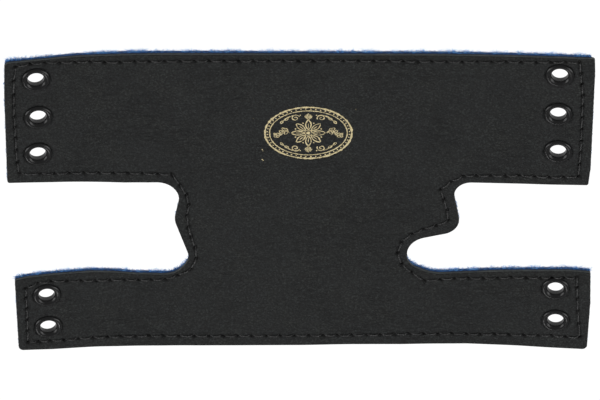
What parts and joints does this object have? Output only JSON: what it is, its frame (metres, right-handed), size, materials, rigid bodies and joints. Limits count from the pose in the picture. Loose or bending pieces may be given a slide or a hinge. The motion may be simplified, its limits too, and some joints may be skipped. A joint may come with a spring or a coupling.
{
  "type": "trumpet valve guard",
  "caption": "Flat leather wrap with felt lining, side slots and eyeletted tabs, laced round a brass instrument's valve casings.",
  "frame": {"origin": "on the felt underside at the middle of the centre panel", "axes": "+X along the guard's length, +Y across its width towards the deeper tabs, +Z out of the leather face"},
  "size_m": [0.1551, 0.1021, 0.0056],
  "materials": {
    "black_leather": "matte, fine pebble grain",
    "blue_felt": "napped felt",
    "black_thread": "twisted bonded thread",
    "black_enamel": "gloss black enamel",
    "gold_foil": "worn hot-stamped foil"
  },
  "bodies": {
    "root": {"leather_center_panel": "black_leather", "lining_center_panel": "blue_felt", "seam_center_panel": "black_thread", "foil_emblem": "gold_foil"},
    "upper_left_inner": {"leather_upper_left_inner": "black_leather", "lining_upper_left_inner": "blue_felt", "seam_upper_left_inner": "black_thread"},
    "upper_left_middle": {"leather_upper_left_middle": "black_leather", "lining_upper_left_middle": "blue_felt", "seam_upper_left_middle": "black_thread"},
    "upper_left_end": {"leather_upper_left_end": "black_leather", "lining_upper_left_end": "blue_felt", "seam_upper_left_end": "black_thread", "eyelet_upper_left_top": "black_enamel", "eyelet_upper_left_middle": "black_enamel", "eyelet_upper_left_bottom": "black_enamel", "washers_upper_left": "black_enamel"},
    "lower_left_inner": {"leather_lower_left_inner": "black_leather", "lining_lower_left_inner": "blue_felt", "seam_lower_left_inner": "black_thread"},
    "lower_left_middle": {"leather_lower_left_middle": "black_leather", "lining_lower_left_middle": "blue_felt", "seam_lower_left_middle": "black_thread"},
    "lower_left_end": {"leather_lower_left_end": "black_leather", "lining_lower_left_end": "blue_felt", "seam_lower_left_end": "black_thread", "eyelet_lower_left_top": "black_enamel", "eyelet_lower_left_bottom": "black_enamel", "washers_lower_left": "black_enamel"},
    "upper_right_inner": {"leather_upper_right_inner": "black_leather", "lining_upper_right_inner": "blue_felt", "seam_upper_right_inner": "black_thread"},
    "upper_right_middle": {"leather_upper_right_middle": "black_leather", "lining_upper_right_middle": "blue_felt", "seam_upper_right_middle": "black_thread"},
    "upper_right_end": {"leather_upper_right_end": "black_leather", "lining_upper_right_end": "blue_felt", "seam_upper_right_end": "black_thread", "eyelet_upper_right_top": "black_enamel", "eyelet_upper_right_middle": "black_enamel", "eyelet_upper_right_bottom": "black_enamel", "washers_upper_right": "black_enamel"},
    "lower_right_inner": {"leather_lower_right_inner": "black_leather", "lining_lower_right_inner": "blue_felt", "seam_lower_right_inner": "black_thread"},
    "lower_right_middle": {"leather_lower_right_middle": "black_leather", "lining_lower_right_middle": "blue_felt", "seam_lower_right_middle": "black_thread"},
    "lower_right_end": {"leather_lower_right_end": "black_leather", "lining_lower_right_end": "blue_felt", "seam_lower_right_end": "black_thread", "eyelet_lower_right_top": "black_enamel", "eyelet_lower_right_bottom": "black_enamel", "washers_lower_right": "black_enamel"}
  },
  "joints": [
    {"name": "upper_left_bend_1", "type": "hinge", "parent": "root", "child": "upper_left_inner", "pos_m": [-0.0345, 0.03, 0], "axis": [0, -1, 0], "range_deg": [0, 62.33]},
    {"name": "upper_left_bend_2", "type": "hinge", "parent": "upper_left_inner", "child": "upper_left_middle", "pos_m": [-0.045, 0.03, 0.00018], "axis": [0, -1, 0], "range_deg": [0, 62.33]},
    {"name": "upper_left_bend_3", "type": "hinge", "parent": "upper_left_middle", "child": "upper_left_end", "pos_m": [-0.05548, 0.03, 0.00073], "axis": [0, -1, 0], "range_deg": [0, 62.33]},
    {"name": "lower_left_bend_1", "type": "hinge", "parent": "root", "child": "lower_left_inner", "pos_m": [-0.0345, -0.037, 0], "axis": [0, -1, 0], "range_deg": [0, 62.33]},
    {"name": "lower_left_bend_2", "type": "hinge", "parent": "lower_left_inner", "child": "lower_left_middle", "pos_m": [-0.045, -0.037, 0.00018], "axis": [0, -1, 0], "range_deg": [0, 62.33]},
    {"name": "lower_left_bend_3", "type": "hinge", "parent": "lower_left_middle", "child": "lower_left_end", "pos_m": [-0.05548, -0.037, 0.00073], "axis": [0, -1, 0], "range_deg": [0, 62.33]},
    {"name": "upper_right_bend_1", "type": "hinge", "parent": "root", "child": "upper_right_inner", "pos_m": [0.0345, 0.03, 0], "axis": [0, 1, 0], "range_deg": [0, 60.87]},
    {"name": "upper_right_bend_2", "type": "hinge", "parent": "upper_right_inner", "child": "upper_right_middle", "pos_m": [0.045, 0.03, 0.00018], "axis": [0, 1, 0], "range_deg": [0, 60.87]},
    {"name": "upper_right_bend_3", "type": "hinge", "parent": "upper_right_middle", "child": "upper_right_end", "pos_m": [0.05549, 0.03, 0.00048], "axis": [0, 1, 0], "range_deg": [0, 60.87]},
    {"name": "lower_right_bend_1", "type": "hinge", "parent": "root", "child": "lower_right_inner", "pos_m": [0.0345, -0.037, 0], "axis": [0, 1, 0], "range_deg": [0, 60.87]},
    {"name": "lower_right_bend_2", "type": "hinge", "parent": "lower_right_inner", "child": "lower_right_middle", "pos_m": [0.045, -0.037, 0.00018], "axis": [0, 1, 0], "range_deg": [0, 60.87]},
    {"name": "lower_right_bend_3", "type": "hinge", "parent": "lower_right_middle", "child": "lower_right_end", "pos_m": [0.05549, -0.037, 0.00048], "axis": [0, 1, 0], "range_deg": [0, 60.87]}
  ],
  "couplings": [
    {"joint": "upper_left_bend_2", "follows": "upper_left_bend_1", "ratio": 1},
    {"joint": "upper_left_bend_3", "follows": "upper_left_bend_1", "ratio": 1},
    {"joint": "lower_left_bend_2", "follows": "lower_left_bend_1", "ratio": 1},
    {"joint": "lower_left_bend_3", "follows": "lower_left_bend_1", "ratio": 1},
    {"joint": "upper_right_bend_2", "follows": "upper_right_bend_1", "ratio": 1},
    {"joint": "upper_right_bend_3", "follows": "upper_right_bend_1", "ratio": 1},
    {"joint": "lower_right_bend_2", "follows": "lower_right_bend_1", "ratio": 1},
    {"joint": "lower_right_bend_3", "follows": "lower_right_bend_1", "ratio": 1}
  ]
}
